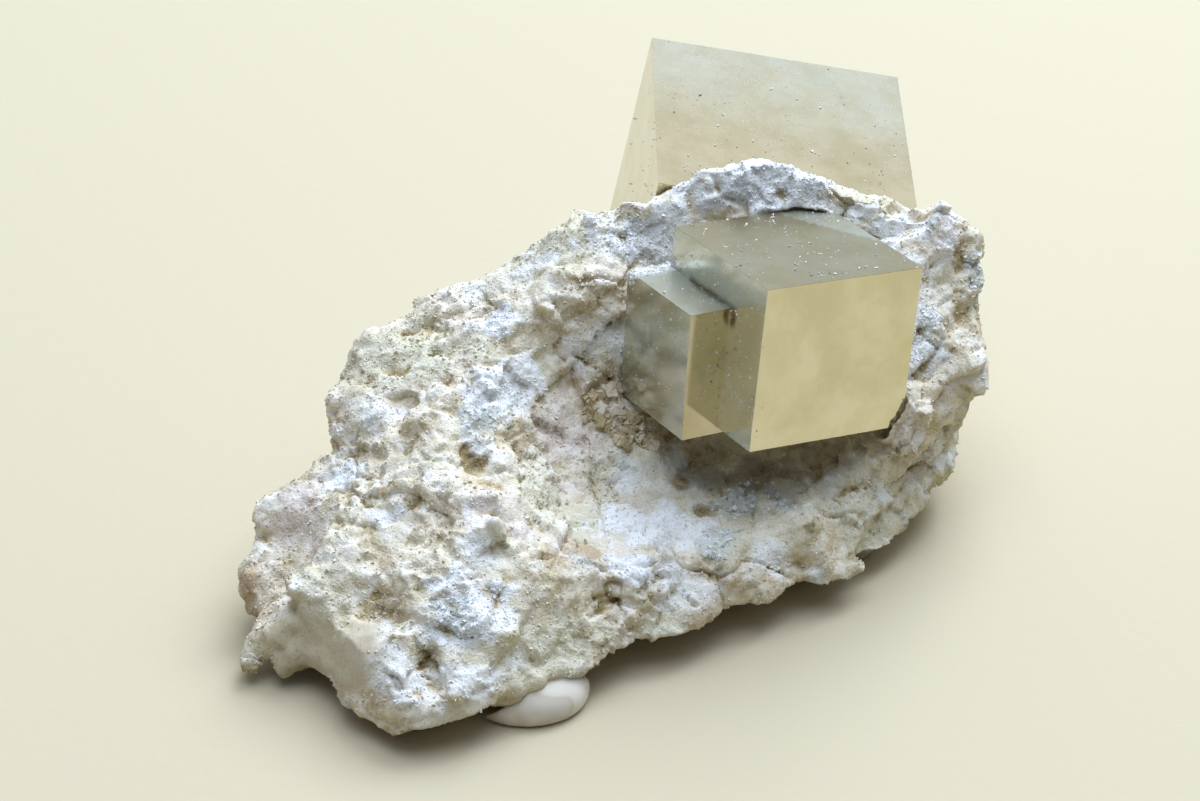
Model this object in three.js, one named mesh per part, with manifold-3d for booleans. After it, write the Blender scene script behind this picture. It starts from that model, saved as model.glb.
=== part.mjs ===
// A pyrite specimen: two brassy cubes grown into one another stand out of the front of a lump of pale marl,
// and a larger cube stands out of its back. A wad of white putty under the front rim keeps it level.
// Millimetres, +Z up, the bench at z = 0. +Y points from the show side towards the back.

import * as THREE from "three";
import { ConvexHull } from "three/addons/math/ConvexHull.js";
import { mergeVertices } from "three/addons/utils/BufferGeometryUtils.js";
import Module from "manifold-3d";

const wasm = await Module();
wasm.setup();

// Driving dimensions of the crystals. Each cube is placed by the near left corner of its top face,
// and turned by its yaw about the upright, its pitch to the right and its roll to the back, in degrees.
const FRONT_CUBE = {
  width: 17.6, depth: 16.8, height: 16.7,
  corner: [15.6, 17.6, 33.2], yaw: 29.2, pitch: 8.5, roll: -5.2,
};
const REAR_CUBE = {
  width: 26.7, depth: 26.7, height: 26.7,
  corner: [5.8, 41.3, 31.3], yaw: 1.8, pitch: 11.0, roll: 5.8,
};
// The small cube grows out of the left face of the front cube, below its top and behind its front.
const SMALL_CUBE = { reach: 4.4, rooted: 3, depth: 11.7, height: 13.1, drop: 4.2, setback: 5.8, twist: 2.1 };

// The stone stands clear of the crystals and the putty by this much.
const SOCKET_GAP = 0.3;

// The stone's lower corners lie this far below the bench, and it is cut off flat at the bench.
const SUNK = -2;

// Corners of the stone, taken round its edge from the left end over the crest and back along the rim.
const LOBE_EDGE = [
  [-33.2, 3.2, 2.6], [-35.6, 9.3, 4.2], [-35.8, 11.6, 6.7], [-34.6, 15.4, 9.2], [-31.0, 17.4, 12.6],
  [-27.0, 19.7, 13.9],
];
const LEFT_CREST = [
  [-26.8, 23.2, 15.4], [-26.2, 29.2, 17.2], [-23.0, 31.8, 20.2], [-20.2, 33.2, 22.0], [-15.8, 34.2, 24.0],
  [-9.7, 36.6, 25.6], [-4.0, 38.0, 27.6],
];
const RIGHT_CREST = [
  [-1.0, 38.5, 29.0], [5.4, 39.5, 32.4], [9.7, 40.2, 34.6], [17.6, 40.6, 36.0], [22.5, 40.0, 33.6],
  [27.8, 40.2, 30.1], [34.2, 39.8, 29.1],
];
const RIGHT_END = [
  [36.9, 39.5, 28.3], [38.4, 38.0, 26.0], [38.9, 32.8, 21.0], [37.6, 29.8, 16.0], [36.6, 28.4, 11.0],
  [34.8, 26.4, 7.5], [31.6, 23.6, 4.6], [27.9, 21.4, 2.2],
];
const RIM = [
  [27.2, 19.8, SUNK], [23.9, 14.2, 3.0], [15.2, 9.2, 4.2], [9.4, 5.0, 4.6], [3.7, 1.4, 4.4], [-1.6, -3.2, 4.0],
];
const TOE = [
  [-11.0, -9.4, 2.8], [-14.6, -10.2, 2.0], [-18.4, -11.4, 1.4], [-22.0, -5.4, 2.0], [-28.4, 0.2, 2.4],
];

// The masses of the stone. Each is the hull of its corners, and they run softly into one another.
const MASSES = [
  // The rounded lobe at the left end, behind and below the main slope.
  [...LOBE_EDGE, [-28.4, 0.2, 2.4], [-28, 24, 3], [-22, 22, 12], [-22, 4, 9], [-22, 10, 1]],
  // The main slope, from the crest down to the blunt toe.
  [
    ...LEFT_CREST, ...TOE, [3, 38.6, 30.5], [-18, -9.6, 6], [-13.5, -8.4, 6.5], [-22.4, -3.6, 7],
    [-27, 4, 9.5], [-24, -1, 8.5], [-18.5, 1, 12.5], [-13, 1, 12], [-5, 1, 8.5], [-1.6, -3.2, 4.0],
    [2, 29.5, 18], [7, 24, 9], [8, 14, 8], [-22, 40, 8], [-8, 47, 12], [2, 46, 14],
    [-22, 34, SUNK], [-20, 12, SUNK], [-6, 8, SUNK], [6, 12, SUNK], [8, 48, SUNK], [-10, 46, SUNK],
  ],
  // The ridge between the front and rear crystals, with the heel under the rear one.
  [
    ...RIGHT_CREST, [-4, 38, 28], [-2, 29, 18], [4, 30, 20], [26, 30, 14], [-5, 45, 16], [4, 49, 20],
    [30, 48, 18], [34, 46, 14], [-4, 51, 9], [-6, 50, SUNK], [0, 55, SUNK], [11, 55, SUNK], [20, 51, SUNK],
    [33, 49, SUNK], [0, 24, SUNK], [30, 24, SUNK],
  ],
  // The shoulder at the right end, which buries the lower right corner of the front crystal.
  [
    ...RIGHT_END, [34.2, 39.8, 29.1], [27.8, 40.2, 30.1], [28, 22, 15.5], [23, 21, 10], [35, 46, 16],
    [34, 48, SUNK], [35, 34, SUNK], [28, 19.5, SUNK], [20, 30, SUNK],
  ],
  // The low shelf along the rim in front of the crystals.
  [
    ...RIM, [0, 3.5, 7.5], [9, 8, 8.8], [20, 12.5, 7.5], [27, 18, 8], [29, 22, 9], [-6, 4, 9], [-2, 20, 11],
    [5, 22, 9.5], [18, 24, 10], [26, 26, 10], [-6, 10, SUNK], [8, 12, SUNK], [-6, 32, SUNK], [28, 34, SUNK],
    [0, 32, 10], [24, 34, 10],
  ],
];
// Two masses meet in a joint rounded over this width.
const MASS_BLEND = 2;

// Ribs and knobs that stand up from the skin, each swept by a ball from one point to another.
const RIBS = [
  // The crystalline edge of the shelf, the brown ledge at its left, and the nose on the rim.
  { from: [7, 11, 7.4], to: [20, 15.5, 7.8], radius: 2.3 },
  { from: [-5, 5.5, 10.2], to: [0.5, 9, 8.8], radius: 1.8 },
  { from: [21.5, 12.6, 3.6], to: [24, 14.5, 3.2], radius: 1.8 },
  // The diagonal rib down the main slope, and the glassy knob beside it.
  { from: [-11.5, 22, 19.4], to: [-18.7, 17.6, 16.4], radius: 1.9 },
  { from: [-12, 17.2, 17.2], to: [-10.6, 17.6, 17], radius: 1.7 },
  // The lip that buries the lower right corner of the front crystal.
  { from: [29.6, 22.6, 12.6], to: [31.2, 24.4, 15.4], radius: 2.1 },
  // The crumbs heaped below the small crystal, and the knob at the back of the shoulder.
  { from: [0.5, 26.5, 12.6], to: [6.5, 21.5, 8.6], radius: 2.4 },
  { from: [31.5, 39, 28.6], to: [34, 39, 28.2], radius: 1.8 },
];

// Hollows cut into the skin, each swept in the same way.
const HOLLOWS = [
  // The valley in front of the crystals, the shade under the front one and the nick behind the small one.
  { from: [4, 15.5, 24.5], to: [14, 15.5, 25], radius: 15 },
  { from: [10, 20, 14], to: [21, 21, 13.5], radius: 4 },
  { from: [3, 31, 30], to: [6, 32.5, 32], radius: 2.6 },
  // The pits of the main slope: a deep slot near the toe, a brown hollow, a gully and a dark hole.
  { from: [-15.8, -3, 9.6], to: [-15, -7.6, 6.4], radius: 1.8 },
  { from: [-21.6, 0.2, 10.2], to: [-20, -0.4, 10.2], radius: 2.2 },
  { from: [-20.8, 14, 17], to: [-19.8, 16.2, 17.4], radius: 2.1 },
  { from: [-12.4, 14.6, 18], to: [-10.8, 12.4, 16.4], radius: 1.9 },
  // The step between the lobe and the main slope, and a small pit at the lobe's foot.
  { from: [-26.6, 21.5, 15.4], to: [-26.8, 10.5, 13], radius: 1.5 },
  { from: [-32.6, 3.4, 5.6], to: [-31.6, 3.2, 5.6], radius: 1.2 },
];
// A rib or hollow runs into the skin over this share of its radius, up to a widest radius.
const SWEEP_BLEND = 0.6;
const WIDEST_BLEND = 7;

// Lumps and creases over the whole skin, coarse to fine.
const LUMPS = [
  { size: 14, height: 1.2 },
  { size: 6.5, height: 1.2 },
  { size: 3.2, height: 0.7 },
];
// Round the toe the stone broke clean, in flat facets with no lumps.
const CLEAN_BREAK = { at: [-19, -8, 3], reach: 12 };

// The skin is found on a grid of cubes with this edge, over a space a little larger than the stone.
const GRID = { step: 1.75, low: [-39.5, -15.5, -5], high: [44, 60, 39] };

// The putty, a squashed ball that the rim presses down on.
const PUTTY = { at: [-6.8, -1.0, 1.1], halves: [5.9, 5.0, 2.9], detail: 7 };

// A unit cube: its corners, numbered by their bits along x, y and z, its faces as rings of corners,
// and its edges, each from its lower end to its upper end.
const CUBE_CORNERS = [0, 1, 2, 3, 4, 5, 6, 7].map((bits) => [bits & 1, (bits >> 1) & 1, bits >> 2]);
const CUBE_FACES = [[0, 1, 3, 2], [4, 5, 7, 6], [0, 1, 5, 4], [2, 3, 7, 6], [0, 2, 6, 4], [1, 3, 7, 5]];
const CUBE_EDGES = [1, 2, 4].flatMap((along) => [...CUBE_CORNERS.keys()].filter((corner) => !(corner & along))
  .map((corner) => [CUBE_CORNERS[corner], CUBE_CORNERS[corner | along]]));

// Vertices closer than this are one.
const WELD = 1e-5;

const radians = THREE.MathUtils.degToRad;
const point = (xyz) => new THREE.Vector3(...xyz);

// A closed geometry as a solid that can be joined and cut.
function solidOf(geometry) {
  const bare = geometry.clone();
  bare.deleteAttribute("normal");
  bare.deleteAttribute("uv");
  const merged = mergeVertices(bare, WELD);
  return new wasm.Manifold(new wasm.Mesh({
    numProp: 3,
    vertProperties: new Float32Array(merged.attributes.position.array),
    triVerts: new Uint32Array(merged.index.array),
  }));
}

function geometryOf(solid) {
  const mesh = solid.getMesh();
  const geometry = new THREE.BufferGeometry();
  geometry.setAttribute("position", new THREE.BufferAttribute(new Float32Array(mesh.vertProperties), 3));
  geometry.setIndex(new THREE.BufferAttribute(new Uint32Array(mesh.triVerts), 1));
  return geometry;
}

// A box that spans two opposite corners.
function boxBetween(low, high) {
  const size = point(high).sub(point(low));
  const middle = point(high).add(point(low)).multiplyScalar(0.5);
  return new THREE.BoxGeometry(size.x, size.y, size.z).translate(middle.x, middle.y, middle.z);
}

// Carries a crystal's own frame, with its top near left corner at the origin, to where it stands.
function placed(geometry, { corner, yaw, pitch, roll }) {
  const turn = new THREE.Euler(radians(roll), radians(pitch), radians(yaw), "ZYX");
  const pose = new THREE.Matrix4().makeRotationFromEuler(turn).setPosition(point(corner));
  return geometry.applyMatrix4(pose);
}

// A cube in its own frame, grown by a margin on every side.
function cube({ width, depth, height }, margin) {
  return boxBetween([-margin, -margin, -height - margin], [width + margin, depth + margin, margin]);
}

function frontCrystals(margin) {
  const { reach, rooted, depth, height, drop, setback, twist } = SMALL_CUBE;
  const near = [-reach - margin, -margin, -height - margin];
  const far = [rooted, depth + margin, margin];
  const small = boxBetween(near, far).rotateY(radians(-twist)).translate(0, setback, -drop);
  return solidOf(placed(cube(FRONT_CUBE, margin), FRONT_CUBE)).add(solidOf(placed(small, FRONT_CUBE)));
}

function backCrystal(margin) {
  return solidOf(placed(cube(REAR_CUBE, margin), REAR_CUBE));
}

// Repeatable noise from -1 to 1, smooth between whole numbers.
function latticeValue(x, y, z) {
  let h = Math.imul(x, 374761393) ^ Math.imul(y, 668265263) ^ Math.imul(z, 1274126177);
  h = Math.imul(h ^ (h >>> 15), 2246822519);
  h = Math.imul(h ^ (h >>> 13), 3266489917);
  return ((h ^ (h >>> 16)) >>> 0) / 2147483648 - 1;
}

function noise(p) {
  const cell = p.clone().floor();
  const part = p.clone().sub(cell);
  const ease = (t) => t * t * (3 - 2 * t);
  const across = (y, z) => THREE.MathUtils.lerp(
    latticeValue(cell.x, cell.y + y, cell.z + z),
    latticeValue(cell.x + 1, cell.y + y, cell.z + z),
    ease(part.x),
  );
  const along = (z) => THREE.MathUtils.lerp(across(0, z), across(1, z), ease(part.y));
  return THREE.MathUtils.lerp(along(0), along(1), ease(part.z));
}

// Rounded lumps with sharp creases between them.
function lumpiness(p) {
  let rise = 0;
  for (const { size, height } of LUMPS) {
    const here = p.clone().divideScalar(size).addScalar(size);
    rise += height * (2 * Math.abs(noise(here)) - 0.7);
  }
  const { at, reach } = CLEAN_BREAK;
  return rise * THREE.MathUtils.smoothstep(p.distanceTo(point(at)), reach / 2, reach);
}

// The greater of two depths, with a rounded joint of the given width.
function softMax(a, b, width) {
  const overlap = Math.max(width - Math.abs(a - b), 0) / width;
  return Math.max(a, b) + (overlap * overlap * width) / 4;
}

function distanceToSweep(p, { from, to, radius }) {
  const nearest = new THREE.Line3(point(from), point(to)).closestPointToPoint(p, true, new THREE.Vector3());
  return p.distanceTo(nearest) - radius;
}

const hulls = MASSES.map((corners) => new ConvexHull().setFromPoints(corners.map(point)));

// How far a place lies inside the stone. Above zero is stone, and below zero is air.
function depthInStone(p) {
  let depth = -Infinity;
  for (const hull of hulls) {
    const inside = -Math.max(...hull.faces.map((face) => face.distanceToPoint(p)));
    depth = depth === -Infinity ? inside : softMax(depth, inside, MASS_BLEND);
  }
  depth += lumpiness(p);
  for (const rib of RIBS) {
    depth = softMax(depth, -distanceToSweep(p, rib), rib.radius * SWEEP_BLEND);
  }
  for (const hollow of HOLLOWS) {
    const blend = Math.min(hollow.radius, WIDEST_BLEND) * SWEEP_BLEND;
    depth = -softMax(-depth, -distanceToSweep(p, hollow), blend);
  }
  return depth;
}

// The skin between stone and air. Each grid cube that it crosses gets one corner, at the middle of the
// places where the cube's edges meet the skin, and the corners round each crossed grid edge are joined.
function skinOf(depthAt, { step, low, high }) {
  const counts = low.map((start, axis) => Math.ceil((high[axis] - start) / step) + 1);
  const index = (i, j, k) => i + counts[0] * (j + counts[1] * k);
  const steps = [index(1, 0, 0), index(0, 1, 0), index(0, 0, 1)];
  const depths = new Float32Array(counts[0] * counts[1] * counts[2]);
  forEachPlace(counts, (i, j, k) => {
    depths[index(i, j, k)] = depthAt(point(low).addScaledVector(new THREE.Vector3(i, j, k), step));
  });

  fillPinches(depths, counts, index, step / 20);

  const corners = new Map();
  const positions = [];
  forEachPlace(counts.map((count) => count - 1), (i, j, k) => {
    const crossing = new THREE.Vector3();
    let crossings = 0;
    for (const [start, end] of CUBE_EDGES) {
      const here = depths[index(i + start[0], j + start[1], k + start[2])];
      const there = depths[index(i + end[0], j + end[1], k + end[2])];
      if (here > 0 !== there > 0) {
        crossing.add(point(start).lerp(point(end), here / (here - there)));
        crossings += 1;
      }
    }
    if (crossings > 0) {
      crossing.divideScalar(crossings).add(new THREE.Vector3(i, j, k));
      corners.set(index(i, j, k), positions.length / 3);
      positions.push(...point(low).addScaledVector(crossing, step));
    }
  });

  const triangles = [];
  forEachPlace(counts.map((count) => count - 1), (i, j, k) => {
    const here = index(i, j, k);
    steps.forEach((alongEdge, axis) => {
      const inside = depths[here] > 0;
      if (inside === depths[here + alongEdge] > 0) {
        return;
      }
      const [first, second] = [steps[(axis + 1) % 3], steps[(axis + 2) % 3]];
      const round = [here, here - first, here - first - second, here - second].map((cube) => corners.get(cube));
      if (!inside) {
        round.reverse();
      }
      triangles.push(round[0], round[1], round[2], round[0], round[2], round[3]);
    });
  });

  const geometry = new THREE.BufferGeometry();
  geometry.setAttribute("position", new THREE.Float32BufferAttribute(positions, 3));
  geometry.setIndex(triangles);
  return geometry;
}

// Stone that meets stone only across a diagonal would pinch the skin to a point or a line, so one place
// of air beside it is filled.
function fillPinches(depths, counts, index, sliver) {
  const cubes = counts.map((count) => count - 1);
  let pinched = true;
  while (pinched) {
    pinched = false;
    forEachPlace(cubes, (i, j, k) => {
      const places = CUBE_CORNERS.map(([x, y, z]) => index(i + x, j + y, k + z));
      const isStone = places.map((place) => depths[place] > 0);
      const stones = [...isStone.keys()].filter((corner) => isStone[corner]);
      const airs = [...isStone.keys()].filter((corner) => !isStone[corner]);
      const pair = [stones, airs].find((corners) => corners.length === 2);
      if (pair && (pair[0] ^ pair[1]) === 7) {
        depths[places[airs[0]]] = sliver;
        pinched = true;
      }
      for (const [a, b, c, d] of CUBE_FACES) {
        if (isStone[a] === isStone[c] && isStone[b] === isStone[d] && isStone[a] !== isStone[b]) {
          depths[places[isStone[a] ? b : a]] = sliver;
          pinched = true;
        }
      }
    });
  }
}

function forEachPlace(counts, visit) {
  for (let k = 0; k < counts[2]; k += 1) {
    for (let j = 0; j < counts[1]; j += 1) {
      for (let i = 0; i < counts[0]; i += 1) {
        visit(i, j, k);
      }
    }
  }
}

// All the space above the bench that the piece could fill.
function aboveBench() {
  const room = 100;
  return solidOf(boxBetween([-room, -room, 0], [room, room, room]));
}

// The stone stands on a flat base, and is cut back round the crystals.
function stone() {
  return solidOf(skinOf(depthInStone, GRID))
    .intersect(aboveBench())
    .subtract(frontCrystals(SOCKET_GAP))
    .subtract(backCrystal(SOCKET_GAP));
}

// The wad fills the space between the bench and the underside of the rim.
function puttyFoot(stoneGeometry) {
  const wad = new THREE.IcosahedronGeometry(1, PUTTY.detail).scale(...PUTTY.halves).translate(...PUTTY.at);
  const pressed = stoneGeometry.clone().translate(0, 0, -SOCKET_GAP);
  return solidOf(wad).intersect(aboveBench()).subtract(solidOf(pressed));
}

function part(name, geometry, color, roughness, metalness) {
  geometry.computeVertexNormals();
  const mesh = new THREE.Mesh(geometry, new THREE.MeshStandardMaterial({ color, roughness, metalness }));
  mesh.name = name;
  return mesh;
}

const group = new THREE.Group();
const stoneGeometry = geometryOf(stone());
group.add(
  part("matrix", stoneGeometry, "#ddd8cc", 0.9, 0),
  part("front_crystals", geometryOf(frontCrystals(0)), "#c8b987", 0.18, 1),
  part("back_crystal", geometryOf(backCrystal(0)), "#c8b987", 0.22, 1),
  part("putty_foot", geometryOf(puttyFoot(stoneGeometry)), "#e9e4d8", 0.45, 0),
);

// The origin is the middle of the footprint, on the bench.
const bounds = new THREE.Box3().setFromObject(group);
const middle = bounds.getCenter(new THREE.Vector3());
group.position.set(-middle.x, -middle.y, -bounds.min.z);

export default group;
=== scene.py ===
"""Brassy pyrite crystals grown in a crumbly marl, a natural specimen that lies on a table.

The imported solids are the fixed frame. Each piece below is built over them, in metres.
"""

import math

import bmesh
import bpy
import numpy as np
from bpy.props import FloatProperty, FloatVectorProperty, IntProperty, PointerProperty
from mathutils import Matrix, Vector
from mathutils.bvhtree import BVHTree


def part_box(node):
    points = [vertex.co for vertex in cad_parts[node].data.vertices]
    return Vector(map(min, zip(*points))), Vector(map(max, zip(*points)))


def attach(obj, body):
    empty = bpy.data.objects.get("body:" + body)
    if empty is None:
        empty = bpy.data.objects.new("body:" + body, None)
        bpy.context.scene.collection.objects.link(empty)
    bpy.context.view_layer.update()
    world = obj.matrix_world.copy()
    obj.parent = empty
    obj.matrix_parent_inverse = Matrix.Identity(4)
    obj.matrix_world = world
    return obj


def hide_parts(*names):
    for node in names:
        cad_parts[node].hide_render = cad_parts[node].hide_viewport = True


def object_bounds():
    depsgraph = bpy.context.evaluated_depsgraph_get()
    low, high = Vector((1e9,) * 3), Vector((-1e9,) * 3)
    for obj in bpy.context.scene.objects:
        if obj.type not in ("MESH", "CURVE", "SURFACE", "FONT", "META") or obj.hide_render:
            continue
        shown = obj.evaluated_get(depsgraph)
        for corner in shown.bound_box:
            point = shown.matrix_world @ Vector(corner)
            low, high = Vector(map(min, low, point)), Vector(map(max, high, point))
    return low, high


bl_info = {
    "name": "Pyrite in marl",
    "version": (1, 0, 0),
    "blender": (4, 5, 0),
    "location": "View3D > Sidebar > Specimen",
    "description": "Builds the looks of a pyrite specimen around its solids",
    "category": "Object",
}

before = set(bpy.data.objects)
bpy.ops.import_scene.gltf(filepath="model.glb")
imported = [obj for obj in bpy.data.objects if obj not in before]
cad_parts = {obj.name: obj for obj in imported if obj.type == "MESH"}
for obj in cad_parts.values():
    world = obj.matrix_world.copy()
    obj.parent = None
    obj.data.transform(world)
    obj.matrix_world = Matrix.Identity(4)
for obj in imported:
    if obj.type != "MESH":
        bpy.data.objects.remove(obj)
CAD_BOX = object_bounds()

MM = 0.001
BODY = "root"
CRYSTAL_NODES = ("front_crystals", "back_crystal")
MOST_TRIANGLES = 190000

# Places on the stone are given in millimetres from the specimen's own corner, as its solids were drawn.
FRONT_LOW = np.array((2.040, 15.079, 12.644))
ORIGIN = np.array(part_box("front_crystals")[0]) / MM - FRONT_LOW
# how far the pieces stay inside the solids' own box, in millimetres
BOX_MARGIN = 0.01


def linear(code):
    """An sRGB hex value as linear red, green, blue and alpha."""
    parts = [int(code[i : i + 2], 16) / 255 for i in (0, 2, 4)]
    return tuple(c / 12.92 if c <= 0.04045 else ((c + 0.055) / 1.055) ** 2.4 for c in parts) + (1.0,)


def colour(name, description, code):
    tone = linear(code)
    limits = {"size": 4, "min": 0.0, "max": 1.0}
    return FloatVectorProperty(name=name, description=description, subtype="COLOR", default=tone, **limits)


def length(name, description, mm):
    limits = {"precision": 5, "min": 0.0}
    return FloatProperty(name=name, description=description, unit="LENGTH", default=mm * MM, **limits)


def ratio(name, description, value, most=1.0):
    return FloatProperty(name=name, description=description, min=0.0, max=most, default=value)


def number_of(name, description, value):
    return IntProperty(name=name, description=description, min=0, default=value)


def power(name, description, watts):
    return FloatProperty(name=name, description=description, unit="POWER", min=0.0, default=watts)


class StoneSettings(bpy.types.PropertyGroup):
    skin_step: length("Skin step", "Distance between the points of the stone's skin", 0.26)
    ledge_rise: length("Ledge rise", "Height of one weathered layer of the marl", 3.4)
    ledge_depth: length("Ledge depth", "How far a layer stands out over the one below", 0.85)
    crumble: ratio("Crumble", "Strength of the broken surface", 1.0, most=2.0)
    grit: number_of("Grit", "Number of sharp grains sunk in the skin", 9000)
    crumbs: number_of("Crumbs", "Number of larger crumbs piled by the crystals", 420)
    calcite: number_of("Calcite", "Number of clear calcite grains", 420)
    sugar: number_of("Sugar", "Number of fine white grains on the crust", 15000)
    white: colour("Chalky white", "Dry crust", "F4F1EA")
    cream: colour("Cream", "Fresh marl", "EADCC1")
    # tan also paints the hollows and brown the deepest of them: painted shade in the recesses, partly fresh
    # marl and soil
    tan: colour("Tan", "Weathered marl", "C9B587")
    brown: colour("Brown", "Soil left in the hollows", "97804F")


class PyriteSettings(bpy.types.PropertyGroup):
    edge: length("Edge", "Width of the worn edge of a crystal", 0.035)
    brass: colour("Brass", "Pale brass of a clean crystal face", "DCD3B6")
    tarnish: colour("Tarnish", "Slightly darker film on older faces", "CFC5A3")
    film: colour("Film", "Grey green film on the older faces", "C6CEC6")
    roughness: ratio("Roughness", "Roughness of a clean crystal face", 0.1)
    dust: number_of("Dust", "Number of specks that lie on the crystals", 1200)


class PuttySettings(bpy.types.PropertyGroup):
    body: colour("Putty", "Hardened white putty", "E9E1D5")
    vein: colour("Vein", "Brown streak in the putty", "B79A72")


class StageSettings(bpy.types.PropertyGroup):
    floor: colour("Floor", "Matt cream paper", "C9BDA1")
    key: power("Key light", "Power of the cool light above and behind", 6.1)
    fill: power("Fill light", "Power of the cool light overhead", 3.2)


# Plain helpers


def add(tree, kind, inputs=None, out=0, stops=(), **settings):
    """Adds one node with its settings, input values or links and ramp stops.

    Gives one of its outputs, or the node itself where out is None.
    """
    node = tree.nodes.new(kind)
    for name, value in settings.items():
        setattr(node, name, value)
    for name, value in (inputs or {}).items():
        if isinstance(value, bpy.types.NodeSocket):
            tree.links.new(value, node.inputs[name])
        else:
            node.inputs[name].default_value = value
    for index, (position, tone) in enumerate(stops):
        elements = node.color_ramp.elements
        if 0 < index < len(stops) - 1:
            element = elements.new(position)
        else:
            element = elements[0 if index == 0 else -1]
        element.position = position
        element.color = tone
    return node if out is None else node.outputs[out]


# A mix of colours has its share at input 0, its colours at 6 and 7, and gives the mixed one at 2.
MIXED_COLOUR = {"out": 2, "data_type": "RGBA"}
BLACK = linear("000000")
PURE_WHITE = linear("FFFFFF")


def per_mm(size):
    """Texture scale, on coordinates in metres, that gives a feature of this many millimetres."""
    return 1.0 / (size * MM)


def material(name):
    """A new material, with its node tree and its shader."""
    made = bpy.data.materials.new(name)
    made.use_nodes = True
    shader = made.node_tree.nodes["Principled BSDF"]
    return made, made.node_tree, shader


def filled_mesh(name, points, faces):
    """A mesh of points in metres, and of faces that have all three or all four sides."""
    mesh = bpy.data.meshes.new(name)
    sides = faces.shape[1]
    mesh.vertices.add(len(points))
    mesh.vertices.foreach_set("co", points.astype(np.float32).ravel())
    mesh.loops.add(faces.size)
    mesh.loops.foreach_set("vertex_index", faces.astype(np.int32).ravel())
    mesh.polygons.add(len(faces))
    mesh.polygons.foreach_set("loop_start", np.arange(0, faces.size, sides, dtype=np.int32))
    mesh.update(calc_edges=True)
    return mesh


def with_tones(mesh, tones):
    """The mesh with each set of masks as a colour of its points."""
    for label, values in tones.items():
        attribute = mesh.attributes.new(label, "FLOAT_COLOR", "POINT")
        attribute.data.foreach_set("color", values.astype(np.float32).ravel())
    return mesh


def ridden(name, mesh, surface, replaces=(), smooth=False):
    """Makes a piece of a mesh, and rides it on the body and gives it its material."""
    mesh.name = name
    mesh.polygons.foreach_set("use_smooth", np.full(len(mesh.polygons), smooth))
    mesh.materials.clear()
    mesh.materials.append(surface)
    mesh.update()
    piece = bpy.data.objects.new(name, mesh)
    bpy.context.scene.collection.objects.link(piece)
    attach(piece, BODY)
    if replaces:
        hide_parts(*replaces)


def mesh_arrays(mesh):
    """Points in metres and triangles of a mesh."""
    points = np.empty(len(mesh.vertices) * 3, np.float32)
    mesh.vertices.foreach_get("co", points)
    mesh.calc_loop_triangles()
    triangles = np.empty(len(mesh.loop_triangles) * 3, np.int32)
    mesh.loop_triangles.foreach_get("vertices", triangles)
    return points.reshape(-1, 3).astype(float), triangles.reshape(-1, 3)


def triangle_normals(points, triangles):
    """The normal of each triangle, as long as twice its area."""
    a, b, c = (points[triangles[:, k]] for k in range(3))
    return np.cross(b - a, c - a)


def unit(vectors):
    """Vectors at a length of one."""
    return vectors / np.maximum(np.linalg.norm(vectors, axis=1), 1e-12)[:, None]


def point_normals(points, triangles):
    """The normal at each point, from the triangles that meet there by their area."""
    flat = triangle_normals(points, triangles)
    normals = np.zeros_like(points)
    for k in range(3):
        for axis in range(3):
            normals[:, axis] += np.bincount(triangles[:, k], flat[:, axis], len(points))
    return unit(normals)


def neighbour_mean(values, edges, count):
    """Mean of each point's neighbours, by edges."""
    total = np.zeros_like(values)
    share = np.bincount(edges.ravel(), minlength=count).astype(float)
    for a, b in ((0, 1), (1, 0)):
        for axis in range(values.shape[1]):
            total[:, axis] += np.bincount(edges[:, a], values[edges[:, b], axis], count)
    return total / np.maximum(share, 1)[:, None]


# Patterns in space, worked out in millimetres

# large odd numbers that turn neighbouring cells into unlike numbers
MIXERS = (374761393, 668265263, 1440662683, 974634777, 1274126177)
ALL_BITS = 0xFFFFFFFF


def place_number(cell, seed):
    """A repeatable number from 0 to 1 for each whole-number cell."""
    h = cell[..., 0] * MIXERS[0] + cell[..., 1] * MIXERS[1] + cell[..., 2] * MIXERS[2]
    h = (h + seed * MIXERS[3]) & ALL_BITS
    h = ((h ^ (h >> 13)) * MIXERS[4]) & ALL_BITS
    h = ((h ^ (h >> 16)) * MIXERS[1]) & ALL_BITS
    return ((h ^ (h >> 15)) & ALL_BITS) / float(ALL_BITS)


def cloud(p, size, seed):
    """Soft noise from -1 to 1 with features of the given size."""
    q = p / size + seed * 0.37
    cell = np.floor(q).astype(np.int64)
    f = q - cell
    f = f * f * f * (f * (f * 6 - 15) + 10)
    total = np.zeros(len(p))
    for dx in (0, 1):
        for dy in (0, 1):
            for dz in (0, 1):
                weight = f[:, 0] if dx else 1 - f[:, 0]
                weight = weight * (f[:, 1] if dy else 1 - f[:, 1])
                weight = weight * (f[:, 2] if dz else 1 - f[:, 2])
                total += weight * place_number(cell + np.array((dx, dy, dz)), seed)
    return total * 2 - 1


def clouds(p, size, seed):
    """Three soft noises as a vector at each place, with seeds that follow one another."""
    return np.stack([cloud(p, size, seed + k) for k in range(3)], 1)


def grains(p, size, seed):
    """The nearest of the centres that are scattered one to a cell.

    Gives the gap between it and the next one, its whole numbers, and each place's offset from it.
    """
    q = p / size
    cell = np.floor(q).astype(np.int64)
    first = np.full(len(p), 9.0)
    second = np.full(len(p), 9.0)
    offset = np.zeros_like(p)
    owner = np.zeros_like(cell)
    for dx in (-1, 0, 1):
        for dy in (-1, 0, 1):
            for dz in (-1, 0, 1):
                near = cell + np.array((dx, dy, dz))
                centre = near + np.stack([place_number(near, seed + k) for k in range(3)], 1)
                away = q - centre
                far = np.linalg.norm(away, axis=1)
                closer = far < first
                second = np.where(closer, first, np.minimum(second, far))
                offset[closer] = away[closer]
                owner[closer] = near[closer]
                first = np.where(closer, far, first)
    return (second - first) * size, owner, offset * size


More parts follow.
